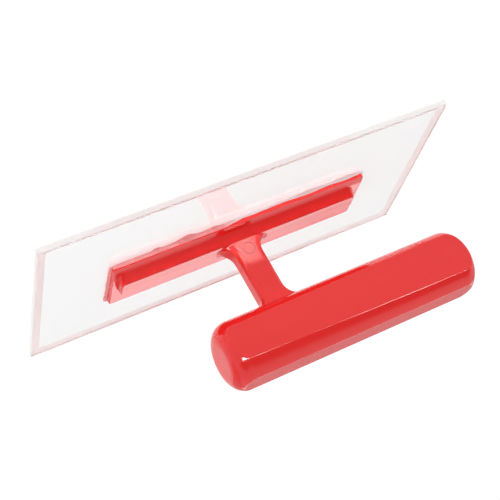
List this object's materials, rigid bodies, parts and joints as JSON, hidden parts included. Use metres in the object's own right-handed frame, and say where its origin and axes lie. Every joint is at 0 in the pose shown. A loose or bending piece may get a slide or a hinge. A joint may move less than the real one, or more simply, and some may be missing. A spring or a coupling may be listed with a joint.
{
  "type": "finishing trowel",
  "caption": "Rectangular clear acrylic finishing trowel with a hollow red T-shaped plastic handle bonded to its back; the grip overhangs the neck further on one side.",
  "frame": {"origin": "middle of the blade's flat working face, which is its underside", "axes": "+X along the blade's length towards the end that the short part of the grip points to, +Y across the blade towards its wider foot margin, +Z from the working face up to the handle"},
  "size_m": [0.24, 0.12, 0.0872],
  "materials": {
    "clear_acrylic": "polished clear sheet",
    "clear_cement": "cured clear solvent cement",
    "red_plastic": "glossy injection moulded"
  },
  "bodies": {
    "root": {"acrylic_blade": "clear_acrylic", "adhesive_film": "clear_cement", "handle_front_shell": "red_plastic", "handle_rear_shell": "red_plastic"}
  },
  "joints": []
}
